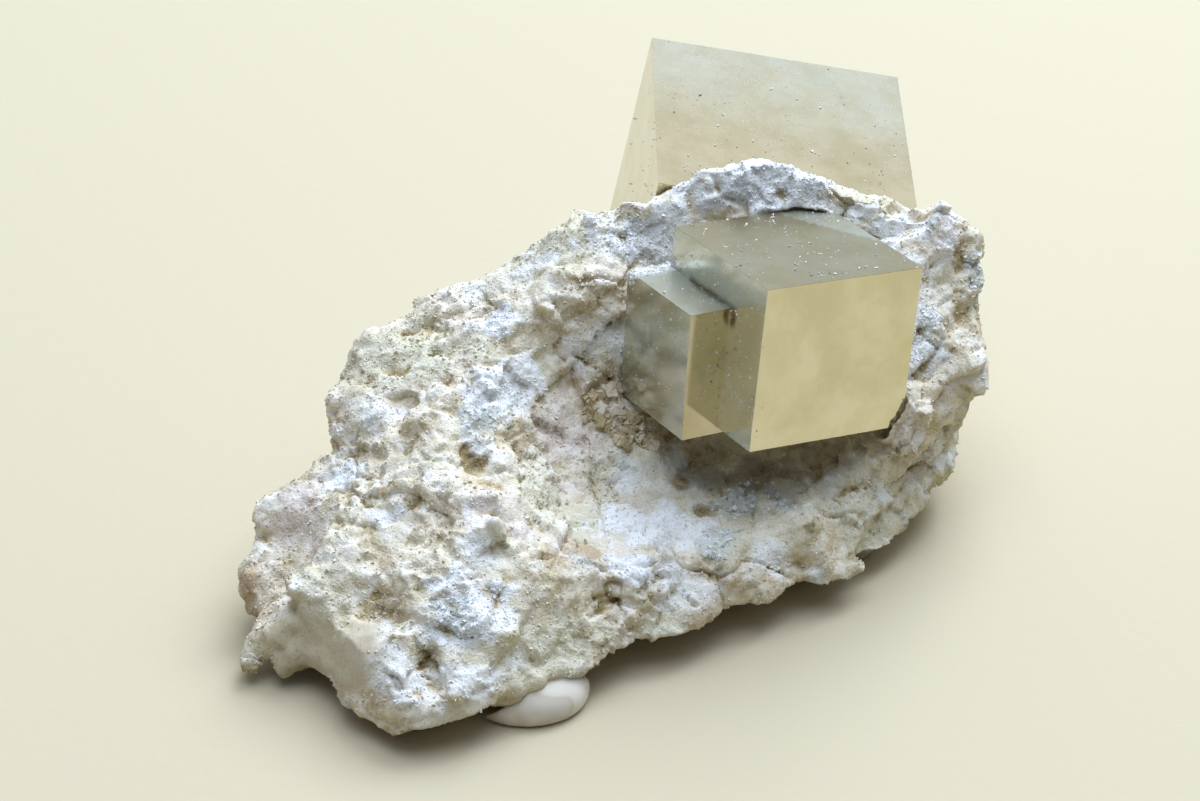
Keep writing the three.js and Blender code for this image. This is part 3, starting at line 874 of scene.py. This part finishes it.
def marl_material(settings):
    """Marl, weathered and freshly broken: matt and dusty, chalk white above and tan in its hollows, where the
    white above is partly painted top light and the tan hollows are partly painted shade.
    """
    made, tree, shader = material("marl_weathered_and_broken")
    place = add(tree, "ShaderNodeTexCoord", out="Object")
    wear_and_shade = add(tree, "ShaderNodeAttribute", out=None, attribute_name="wear_and_shade")
    kind = add(tree, "ShaderNodeAttribute", out=None, attribute_name="kind")
    hollow, ochre, pink = add(tree, "ShaderNodeSeparateColor", {0: wear_and_shade.outputs["Color"]}, out=None).outputs
    clean, green, soil_and_shade = add(tree, "ShaderNodeSeparateColor", {0: kind.outputs["Color"]}, out=None).outputs
    glass = wear_and_shade.outputs["Alpha"]
    white = kind.outputs["Alpha"]
    patterns = []
    for size, detail, roughness in ((2.4, 7.0, 0.66), (0.5, 5.0, 0.72), (0.24, 3.0, 0.7)):
        noise = {"Vector": place, "Scale": per_mm(size), "Detail": detail, "Roughness": roughness}
        patterns.append(add(tree, "ShaderNodeTexNoise", noise))
    middle, fine, sugar = patterns
    grain = add(tree, "ShaderNodeTexVoronoi", {"Vector": place, "Scale": per_mm(0.3)}, out="Distance")
    stops = [(0.36, tuple(settings.tan)), (0.52, tuple(settings.cream)), (0.7, tuple(settings.white))]
    ground = add(tree, "ShaderNodeValToRGB", {0: middle}, stops=stops)

    # what looks up is whitened, broken by flecks: painted top light, partly a dry white crust
    up = add(tree, "ShaderNodeSeparateXYZ", {0: add(tree, "ShaderNodeNewGeometry", out="Normal")}, out="Z")
    crust_and_top_light = add(tree, "ShaderNodeMapRange", {"Value": up, "From Max": 0.9, "To Max": 0.3})
    span = {"From Min": 0.36, "From Max": 0.56, "To Min": 0.25}
    flecks = add(tree, "ShaderNodeMapRange", {"Value": fine, **span})
    crust_and_top_light = add(tree, "ShaderNodeMath", {0: crust_and_top_light, 1: flecks}, operation="MULTIPLY")
    # hollows are painted tan, and brown where they are deepest: painted shade in the recesses, partly fresh
    # marl and soil
    shallow = add(tree, "ShaderNodeMapRange", {"Value": hollow, "From Min": 0.54, "From Max": 0.8})
    deepest = add(tree, "ShaderNodeMapRange", {"Value": hollow, "From Min": 0.7, "From Max": 1.0})
    layers = (
        (pink, 0.65, linear("E0CCC6")),
        (green, 0.7, linear("DDD6B6")),
        (white, 0.9, linear("FCFDFF")),
        # bluish white on what looks up: painted top light, partly dry crust
        (crust_and_top_light, 1.0, linear("F8F9FA")),
        (clean, 0.9, linear("C6B99E")),
        (glass, 0.45, linear("CBD2CE")),
        (shallow, 0.85, tuple(settings.tan)),
        (deepest, 0.8, tuple(settings.brown)),
        (ochre, 0.55, linear("B5956A")),
        # soil brown: real soil in places, painted shade under the front crystals and the overhangs
        (soil_and_shade, 0.55, linear("8A7755")),
    )
    for mask, strength, tone in layers:
        share = add(tree, "ShaderNodeMath", {0: mask, 1: strength}, operation="MULTIPLY")
        ground = add(tree, "ShaderNodeMix", {0: share, 6: ground, 7: tone}, **MIXED_COLOUR)
    # darker specks between the grains
    for pattern, strength, dark, half, light in (
        (fine, 0.6, (0.3, "CFC6B8"), (0.42, "FDFDFC"), (0.75, "FFFFFF")),
        (sugar, 0.7, (0.3, "C6BDAE"), (0.44, "FCFCFA"), (0.6, "FFFFFF")),
    ):
        stops = [(position, linear(code)) for position, code in (dark, half, light)]
        specks = add(tree, "ShaderNodeValToRGB", {0: pattern}, stops=stops)
        tones = {0: strength, 6: ground, 7: specks}
        ground = add(tree, "ShaderNodeMix", tones, blend_type="MULTIPLY", **MIXED_COLOUR)
    tree.links.new(ground, shader.inputs["Base Color"])
    shine = add(tree, "ShaderNodeMapRange", {"Value": glass, "To Min": 0.88, "To Max": 0.35})
    tree.links.new(shine, shader.inputs["Roughness"])
    # broken grain shows less on the clean facets and comes and goes elsewhere
    bare = add(tree, "ShaderNodeMapRange", {"Value": clean, "To Min": 1.0, "To Max": 0.1})
    span = {"From Min": 0.35, "From Max": 0.65, "To Min": 1.0, "To Max": 0.55}
    shown = add(tree, "ShaderNodeMapRange", {"Value": middle, **span})
    shown = add(tree, "ShaderNodeMath", {0: bare, 1: shown}, operation="MULTIPLY")
    relief = {}
    for height, strength, deep in ((fine, 0.7, 0.3), (grain, 0.45, 0.14), (sugar, 0.85, 0.15)):
        share = add(tree, "ShaderNodeMath", {0: shown, 1: strength}, operation="MULTIPLY")
        rough = {"Height": height, "Strength": share, "Distance": deep * MM}
        relief = {"Normal": add(tree, "ShaderNodeBump", {**rough, **relief})}
    tree.links.new(relief["Normal"], shader.inputs["Normal"])
    shader.inputs["Specular IOR Level"].default_value = 0.35
    return made


def build_grains(settings, surface, skin, tones):
    """The stone's loose grain: grit in the hollows, white sugar on the crust, crumbs by the crystals."""
    rng = np.random.default_rng(701)
    fewer = 1
    places, triangles = skin
    middle = places[triangles].mean(1)
    hollow = tones["wear_and_shade"][:, 0][triangles].mean(1)
    clean, white = (tones["kind"][:, k][triangles].mean(1) for k in (0, 3))
    pile = patches(middle, CRUMBS, 71, 0.5)
    above = step(0.2, 0.8, middle[:, 2])
    bare = (1 - clean * 0.97) * above

    # sharp grit half sunk in the skin, thickest in the hollows and in the pile
    count = settings.grit // fewer
    weight = (0.35 + 0.9 * step(0.45, 0.8, hollow) + 5.0 * pile) * bare
    weight *= 0.15 + step(-0.2, 0.5, cloud(middle, 4.0, 72))
    mesh, under = strewn("stone_grit", skin, weight, count, rng, (0.17, 0.22, 2), (-0.2, 0.12))
    wear_and_shade = tones["wear_and_shade"][under]
    wear_and_shade[:, 0] = wear_and_shade[:, 0] * 0.85 + rng.uniform(-0.08, 0.12, count)
    grit = (mesh, wear_and_shade, tones["kind"][under])

    # finer grains, thickest where the crust is white
    count = settings.sugar // fewer
    weight = (0.3 + 1.6 * white) * bare * (0.2 + step(-0.3, 0.4, cloud(middle, 3.0, 73)))
    mesh, under = strewn("stone_sugar", skin, weight, count, rng, (0.11, 0.12, 2), (-0.1, 0.2))
    kind = tones["kind"][under]
    kind[:, 3] = np.maximum(kind[:, 3], rng.uniform(0.2, 1.0, count))
    sugar = (mesh, tones["wear_and_shade"][under] * 0.7, kind)

    # larger crumbs, in the pile alone
    count = settings.crumbs
    mesh, under = strewn("crumb_pile", skin, pile * above, count, rng, (0.35, 0.75, 1.8), (-0.1, 0.35))
    wear_and_shade = tones["wear_and_shade"][under] * 0.3
    wear_and_shade[:, 0] = rng.uniform(0.45, 0.8, count)
    crumbs = (mesh, wear_and_shade, tones["kind"][under] * 0.3)

    for mesh, wear_and_shade, kind in (grit, sugar, crumbs):
        each = {label: np.repeat(values, len(CUBE), 0) for label, values in (("wear_and_shade", wear_and_shade), ("kind", kind))}
        ridden(mesh.name, with_tones(mesh, each), surface)


def calcite_material():
    """Calcite, clear broken grains: glassy and faintly grey, they catch small bright points in the marl."""
    made, tree, shader = material("calcite_clear_broken_grains")
    place = add(tree, "ShaderNodeTexCoord", out="Object")
    noise = add(tree, "ShaderNodeTexNoise", {"Vector": place, "Scale": per_mm(0.9), "Detail": 3.0})
    stops = [(0.35, linear("D9DFE0")), (0.55, linear("F9FBFC"))]
    tone = add(tree, "ShaderNodeValToRGB", {0: noise}, stops=stops)
    tree.links.new(tone, shader.inputs["Base Color"])
    shader.inputs["Roughness"].default_value = 0.16
    shader.inputs["IOR"].default_value = 1.6
    shader.inputs["Transmission Weight"].default_value = 0.05
    return made


def build_calcite(count, skin, tones):
    """Clear grains of calcite that stand a little out of the stone where it is glassy."""
    rng = np.random.default_rng(811)
    places, triangles = skin
    glass = tones["wear_and_shade"][:, 3][triangles].mean(1)
    weight = glass * step(0.2, 0.8, places[triangles].mean(1)[:, 2])
    mesh, _ = strewn("calcite_grains", skin, weight, count, rng, (0.2, 0.3, 2), (-0.25, 0.15), 0.6)
    ridden(mesh.name, mesh, calcite_material())


class SPECIMEN_OT_stone(bpy.types.Operator):
    """Builds the crumbling stone over its solid, with the grit and crumbs that lie in it"""

    bl_idname = "specimen.stone"
    bl_label = "Stone"

    def execute(self, context):
        settings = context.scene.specimen_stone
        surface = marl_material(settings)
        mesh, places, triangles, tones = build_stone(settings)
        skin = thinned(with_tones(mesh, tones), MOST_TRIANGLES)
        ridden("stone_skin", skin, surface, ["matrix"], smooth=True)
        build_grains(settings, surface, (places, triangles), tones)
        build_calcite(settings.calcite, (places, triangles), tones)
        return {"FINISHED"}


# Crystals

# The brown stain runs along the joint of the two front crystals and ends in a spot on the low one's front.
STAIN_LINE = ((8.7, 28.2, 27.9), (12.7, 21.4, 28.9))
STAIN_SPOT = ((12.6, 21.4, 27.8), (0.8, 0.8, 1.4))
# Stone dust lies thick along the low crystal's back edge.
DUSTY_EDGE = ((2.6, 29.0, 27.9), (7.2, 31.4, 27.7))
# The low crystal's top lies under this height, and its front lies left of this.
LOW_TOP = 30.0
LOW_FRONT = 12.4
# The back crystal starts behind this, has its stained band here, and carries its film between these.
BACK_START = 41.5
BACK_BAND = 48.0
BACK_FILM = (48.0, 66.0)


def pyrite_material(settings):
    """Pyrite, natural crystal faces: mirror flat, pale brass, blurred and greyed by a thin patchy tarnish."""
    made, tree, shader = material("pyrite_natural_crystal_faces")
    place = add(tree, "ShaderNodeTexCoord", out="Object")
    film = add(tree, "ShaderNodeAttribute", out=None, attribute_name="film")
    films = add(tree, "ShaderNodeSeparateColor", {0: film.outputs["Color"]}, out=None)
    filmed, blurred, stained = films.outputs
    dusty = film.outputs["Alpha"]
    patterns = []
    for size, detail, roughness in ((4.2, 6.0, 0.6), (1.4, 5.0, 0.65)):
        noise = {"Vector": place, "Scale": per_mm(size), "Detail": detail, "Roughness": roughness}
        patterns.append(add(tree, "ShaderNodeTexNoise", noise))
    mottle, cloudy = patterns
    stops = [(0.36, tuple(settings.tarnish)), (0.62, tuple(settings.brass))]
    tone = add(tree, "ShaderNodeValToRGB", {0: mottle}, stops=stops)
    span = {"From Min": 0.3, "From Max": 0.7, "To Min": 0.6}
    grey = add(tree, "ShaderNodeMapRange", {"Value": cloudy, **span})
    grey = add(tree, "ShaderNodeMath", {0: grey, 1: filmed}, operation="MULTIPLY")
    for mask, over in ((grey, tuple(settings.film)), (stained, linear("5F4220")), (dusty, linear("DADDDF"))):
        tone = add(tree, "ShaderNodeMix", {0: mask, 6: tone, 7: over}, **MIXED_COLOUR)
    tree.links.new(tone, shader.inputs["Base Color"])
    bare = add(tree, "ShaderNodeMath", {0: grey, 1: 0.5, 2: dusty}, operation="MULTIPLY_ADD")
    bare = add(tree, "ShaderNodeMapRange", {"Value": bare, "To Min": 1.0, "To Max": 0.1})
    tree.links.new(bare, shader.inputs["Metallic"])
    # hair scratches follow thin bands of a slow noise, shown only in places
    noise = {"Vector": place, "Scale": per_mm(7), "Detail": 1.0, "Distortion": 0.6}
    slow = add(tree, "ShaderNodeTexNoise", noise)
    hair = add(tree, "ShaderNodeValToRGB", {0: slow}, stops=[(0.49, BLACK), (0.5, PURE_WHITE), (0.51, BLACK)])
    span = {"From Min": 0.52, "From Max": 0.62, "To Max": 0.5}
    shown = add(tree, "ShaderNodeMapRange", {"Value": cloudy, **span})
    hair = add(tree, "ShaderNodeMath", {0: hair, 1: shown}, operation="MULTIPLY")
    clear = settings.roughness
    span = {"From Min": 0.3, "From Max": 0.7, "To Min": clear * 1.4, "To Max": clear * 0.8}
    blur = add(tree, "ShaderNodeMapRange", {"Value": mottle, **span})
    for mask, strength in ((blurred, 0.26), (hair, 0.3)):
        blur = add(tree, "ShaderNodeMath", {0: mask, 1: strength, 2: blur}, operation="MULTIPLY_ADD")
    tree.links.new(blur, shader.inputs["Roughness"])
    relief = add(tree, "ShaderNodeBump", {"Height": cloudy, "Strength": 0.06, "Distance": 0.05 * MM})
    tree.links.new(relief, shader.inputs["Normal"])
    return made


def crystal_mesh(node, edge, cell):
    """A packed crystal with its edges a little worn and its faces cut in squares that carry the film."""
    made = bmesh.new()
    made.from_mesh(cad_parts[node].data)
    bmesh.ops.remove_doubles(made, verts=made.verts, dist=1e-6)
    bmesh.ops.dissolve_limit(made, angle_limit=math.radians(1), verts=made.verts, edges=made.edges)
    closed = [e for e in made.edges if len(e.link_faces) == 2]
    sharp = [e for e in closed if e.calc_face_angle_signed() > math.radians(30)]
    worn = {"offset": edge, "segments": 2, "profile": 0.5, "clamp_overlap": True}
    bmesh.ops.bevel(made, geom=sharp, affect="EDGES", **worn)
    widest = sorted(made.faces, key=lambda face: -face.calc_area())
    first = widest[0].normal.copy()
    second = next(face.normal.copy() for face in widest if abs(face.normal.dot(first)) < 0.1)
    for axis in (first, second, first.cross(second).normalized()):
        reach = [v.co.dot(axis) for v in made.verts]
        for cut in np.arange(min(reach) + cell, max(reach), cell):
            geometry = made.verts[:] + made.edges[:] + made.faces[:]
            bmesh.ops.bisect_plane(made, geom=geometry, plane_co=axis * cut, plane_no=axis, dist=1e-8)
    mesh = bpy.data.meshes.new(node + "_worn")
    made.to_mesh(mesh)
    made.free()
    return mesh


def film_on(mesh, front):
    """Film, blur, stain and dust for each corner of a face, from the way the face looks and where it is."""
    corners = np.empty(len(mesh.loops), np.int32)
    mesh.loops.foreach_get("vertex_index", corners)
    p = to_places(mesh_arrays(mesh)[0])[corners]
    facing = np.empty(len(mesh.polygons) * 3, np.float32)
    mesh.polygons.foreach_get("normal", facing)
    sides = np.empty(len(mesh.polygons), np.int32)
    mesh.polygons.foreach_get("loop_total", sides)
    facing = np.repeat(facing.reshape(-1, 3), sides, 0)
    top = step(0.7, 0.9, facing[:, 2])
    left = step(0.5, 0.8, -facing[:, 0])
    patchy = 0.75 + 0.25 * cloud(p, 2.6, 81)
    if front:
        film = np.maximum(left * 0.85, top * (p[:, 2] < LOW_TOP) * 0.8) * patchy
        blur = np.maximum(top * (0.9 + 0.1 * cloud(p, 3.0, 82)), left * 0.15)
        line = from_line(p + cloud(p, 0.7, 83)[:, None] * 0.12, *STAIN_LINE)
        stain = (1 - step(0.08, 0.42, line)) * 0.6
        place, reach = (np.array(values) for values in STAIN_SPOT)
        spot = np.linalg.norm((p - place) / reach, axis=1) + cloud(p, 0.5, 84) * 0.25
        stain = np.maximum(stain, (1 - step(0.35, 1.0, spot)) * 0.9)
        stain = np.maximum(stain, step(0.5, 0.8, -facing[:, 1]) * (p[:, 0] < LOW_FRONT) * 0.3)
        dust = (1 - step(0.5, 1.1, from_line(p, *DUSTY_EDGE) + cloud(p, 0.8, 85) * 0.5)) * 0.8
    else:
        film = np.maximum(left * 0.4, top * step(*BACK_FILM, p[:, 1]) * 0.75) * patchy
        blur = np.maximum(top * 0.6, left * 0.2)
        stain = left * (1 - step(0.4, 1.6, np.abs(p[:, 1] - BACK_BAND + cloud(p, 3.0, 86)))) * 0.12
        dust = top * 0
    values = np.stack([film, blur, stain, dust], 1)
    attribute = mesh.attributes.new("film", "FLOAT_COLOR", "CORNER")
    attribute.data.foreach_set("color", values.astype(np.float32).ravel())


def dust_material():
    """Stone dust: tiny dry flakes of the marl that lie on the crystals, matt and nearly white."""
    made, tree, shader = material("marl_dust_dry")
    place = add(tree, "ShaderNodeTexCoord", out="Object")
    noise = add(tree, "ShaderNodeTexNoise", {"Vector": place, "Scale": per_mm(0.8), "Detail": 2.0})
    stops = [(0.3, linear("CFC8B6")), (0.6, linear("FBFBFB"))]
    tone = add(tree, "ShaderNodeValToRGB", {0: noise}, stops=stops)
    tree.links.new(tone, shader.inputs["Base Color"])
    shader.inputs["Roughness"].default_value = 0.8
    return made


def build_dust(name, mesh, count, surface, rng):
    """Specks of stone dust on the faces that look up, thickest at the low crystal's back edge."""
    points, triangles = mesh_arrays(mesh)
    p = to_places(points)
    facing = unit(triangle_normals(p, triangles))
    middle = p[triangles].mean(1)
    edge = 1 - step(0.3, 1.2, from_line(middle, *DUSTY_EDGE))
    weight = step(0.75, 0.95, facing[:, 2]) * (0.25 + step(-0.2, 0.5, cloud(middle, 3.0, 91)))
    weight += edge * 25 + 0.01
    # some on the front crystals' upright faces, and less at the back crystal's far end
    upright = (np.minimum(facing[:, 0], facing[:, 1]) < -0.5) & (middle[:, 0] < 15.5) & (middle[:, 2] > 18)
    weight += 0.3 * upright
    weight *= np.where(middle[:, 1] > BACK_START, 1 - 0.8 * step(50, 62, middle[:, 1]), 1)
    centres, facing, _ = scattered(p, triangles, weight, count, rng)
    sizes = 0.09 + 0.15 * rng.random(count) ** 3
    sizes += 0.12 * (from_line(centres, *DUSTY_EDGE) < 1.2) * rng.random(count)
    centres += facing * (sizes * 0.15)[:, None]
    specks = angular_grains(name, centres, sizes, rng, 0.35)
    ridden(name, specks, surface)


class SPECIMEN_OT_crystals(bpy.types.Operator):
    """Builds the pyrite crystals with worn edges, tarnish and the dust that lies on them"""

    bl_idname = "specimen.crystals"
    bl_label = "Crystals"

    def execute(self, context):
        settings = context.scene.specimen_pyrite
        surface = pyrite_material(settings)
        dusted = []
        for node, name, cell, share in (
            ("front_crystals", "front_pair", 0.45 * MM, 0.75),
            ("back_crystal", "back_cube", 0.9 * MM, 0.25),
        ):
            mesh = crystal_mesh(node, settings.edge, cell)
            film_on(mesh, node == "front_crystals")
            ridden("pyrite_" + name, mesh, surface, [node])
            dusted.append(("dust_on_" + name, mesh, int(settings.dust * share)))
        rng = np.random.default_rng(905)
        surface = dust_material()
        for name, mesh, count in dusted:
            build_dust(name, mesh, count, surface, rng)
        return {"FINISHED"}


# Putty


def putty_material(settings):
    """Hardened white putty: pressed smooth by a finger, a soft half gloss like unglazed china."""
    made, tree, shader = material("white_putty_pressed_smooth")
    place = add(tree, "ShaderNodeTexCoord", out="Object")
    noise = {"Vector": place, "Scale": per_mm(8), "Detail": 3.0, "Distortion": 0.5}
    stain = add(tree, "ShaderNodeTexNoise", noise)
    stops = [(0.35, linear("D9CFBF")), (0.6, tuple(settings.body))]
    tone = add(tree, "ShaderNodeValToRGB", {0: stain}, stops=stops)
    # a faint streak where the stain is halfway
    faint = (0.35, 0.35, 0.35, 1.0)
    streak = add(tree, "ShaderNodeValToRGB", {0: stain}, stops=[(0.42, BLACK), (0.47, faint), (0.5, BLACK)])
    tone = add(tree, "ShaderNodeMix", {0: streak, 6: tone, 7: tuple(settings.vein)}, **MIXED_COLOUR)
    tree.links.new(tone, shader.inputs["Base Color"])
    shader.inputs["Roughness"].default_value = 0.35
    return made


class SPECIMEN_OT_putty(bpy.types.Operator):
    """Builds the smooth wad of putty under the toe"""

    bl_idname = "specimen.putty"
    bl_label = "Putty"

    def execute(self, context):
        surface = putty_material(context.scene.specimen_putty)
        mesh = remeshed("putty_foot", 0.3 * MM)
        ridden("putty_wad", mesh, surface, ["putty_foot"], smooth=True)
        return {"FINISHED"}


# Stage

FLOOR_HALF = 3.0
# Soft light from all round, by how far a way leans to the brightest: over and behind the object.
BRIGHTEST = (0.1, 0.5, 0.86)
SKY = (
    (0.25, "1E2226"),
    (0.5, "3A4048"),
    (0.64, "6A737E"),
    (0.855, "B6C3D1"),
    (0.93, "F2F9FF"),
    (1.0, "FFFFFF"),
)
BACKDROP = "F0EDDF"
# The camera stands this far, in millimetres, from the middle of the front crystals' box.
EYE = (-16.4, -272.55, 168.4)
EYE_TILT = 57
LENS = 99.0


def lamp(name, place, size, watts, tint):
    """A square soft lamp that looks at the object and isn't mirrored in it."""
    data = bpy.data.lights.new(name, "AREA")
    data.shape = "SQUARE"
    data.size = size
    data.energy = watts
    data.color = linear(tint)[:3]
    light = bpy.data.objects.new(name, data)
    light.location = place
    light.rotation_euler = (-Vector(place)).to_track_quat("-Z", "Y").to_euler()
    light.visible_glossy = False
    bpy.context.scene.collection.objects.link(light)


def build_floor(tone):
    """Matt cream paper: a plain sheet with a faint even tooth, dull from every side."""
    made, tree, shader = material("matt_cream_paper")
    place = add(tree, "ShaderNodeTexCoord", out="Object")
    tooth = add(tree, "ShaderNodeTexNoise", {"Vector": place, "Scale": per_mm(1.6), "Detail": 3.0})
    relief = add(tree, "ShaderNodeBump", {"Height": tooth, "Strength": 0.12, "Distance": 0.3 * MM})
    tree.links.new(relief, shader.inputs["Normal"])
    shader.inputs["Base Color"].default_value = tone
    shader.inputs["Roughness"].default_value = 0.9
    mesh = bpy.data.meshes.new("floor")
    corners = [(x * FLOOR_HALF, y * FLOOR_HALF, 0) for x, y in ((-1, -1), (1, -1), (1, 1), (-1, 1))]
    mesh.from_pydata(corners, [], [(0, 1, 2, 3)])
    mesh.materials.append(made)
    floor = bpy.data.objects.new("floor", mesh)
    bpy.context.scene.collection.objects.link(floor)


def build_sky(scene):
    """Soft studio light all round, with a plain backdrop for the camera."""
    world = bpy.data.worlds.new("soft_studio")
    scene.world = world
    world.use_nodes = True
    sky = world.node_tree
    way = add(sky, "ShaderNodeTexCoord", out="Generated")
    lean = add(sky, "ShaderNodeVectorMath", {0: way, 1: BRIGHTEST}, out="Value", operation="DOT_PRODUCT")
    lean = add(sky, "ShaderNodeMath", {0: lean, 1: 0.5, 2: 0.5}, operation="MULTIPLY_ADD")
    stops = [(position, linear(code)) for position, code in SKY]
    glow = add(sky, "ShaderNodeValToRGB", {0: lean}, stops=stops)
    seen = add(sky, "ShaderNodeLightPath", out="Is Camera Ray")
    light = sky.nodes["Background"]
    sky.links.new(glow, light.inputs["Color"])
    light.inputs["Strength"].default_value = 1.0
    plain = add(sky, "ShaderNodeBackground", {"Color": linear(BACKDROP), "Strength": 1.0})
    both = add(sky, "ShaderNodeMixShader", {0: seen, 1: light.outputs[0], 2: plain})
    sky.links.new(both, sky.nodes["World Output"].inputs["Surface"])


class SPECIMEN_OT_stage(bpy.types.Operator):
    """Builds the floor, the studio light and the camera"""

    bl_idname = "specimen.stage"
    bl_label = "Stage"

    def execute(self, context):
        scene = context.scene
        settings = scene.specimen_stage
        build_floor(tuple(settings.floor))
        build_sky(scene)
        lamp("key_cool", (0.21, 0.38, 0.54), 0.45, settings.key, "D9E9FF")
        lamp("fill_cool", (0.0, -0.03, 0.78), 0.6, settings.fill, "DDEBFF")
        low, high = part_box("front_crystals")
        data = bpy.data.cameras.new("camera")
        data.lens = LENS
        data.sensor_width = 36.0
        data.clip_start = 0.01
        camera = bpy.data.objects.new("camera", data)
        camera.location = (low + high) / 2 + Vector(EYE) * MM
        camera.rotation_euler = (math.radians(EYE_TILT), 0, 0)
        scene.collection.objects.link(camera)
        scene.camera = camera
        scene.view_settings.view_transform = "Standard"
        return {"FINISHED"}


class SPECIMEN_PT_build(bpy.types.Panel):
    """Lists the pieces in the order they are built"""

    bl_idname = "SPECIMEN_PT_build"
    bl_label = "Specimen"
    bl_space_type = "VIEW_3D"
    bl_region_type = "UI"
    bl_category = "Specimen"

    def draw(self, context):
        for step_name in BUILD_ORDER:
            self.layout.operator("specimen." + step_name)


BUILD_ORDER = ("stage", "crystals", "stone", "putty")
SETTINGS = (
    ("specimen_stone", StoneSettings),
    ("specimen_pyrite", PyriteSettings),
    ("specimen_putty", PuttySettings),
    ("specimen_stage", StageSettings),
)
LISTED = (SPECIMEN_OT_stage, SPECIMEN_OT_crystals, SPECIMEN_OT_stone, SPECIMEN_OT_putty, SPECIMEN_PT_build)


def register():
    for name, group in SETTINGS:
        bpy.utils.register_class(group)
        setattr(bpy.types.Scene, name, PointerProperty(type=group))
    for item in LISTED:
        bpy.utils.register_class(item)


def unregister():
    for item in reversed(LISTED):
        bpy.utils.unregister_class(item)
    for name, group in reversed(SETTINGS):
        delattr(bpy.types.Scene, name)
        bpy.utils.unregister_class(group)


def main():
    register()
    for step_name in BUILD_ORDER:
        getattr(bpy.ops.specimen, step_name)()


if __name__ == "__main__":
    main()
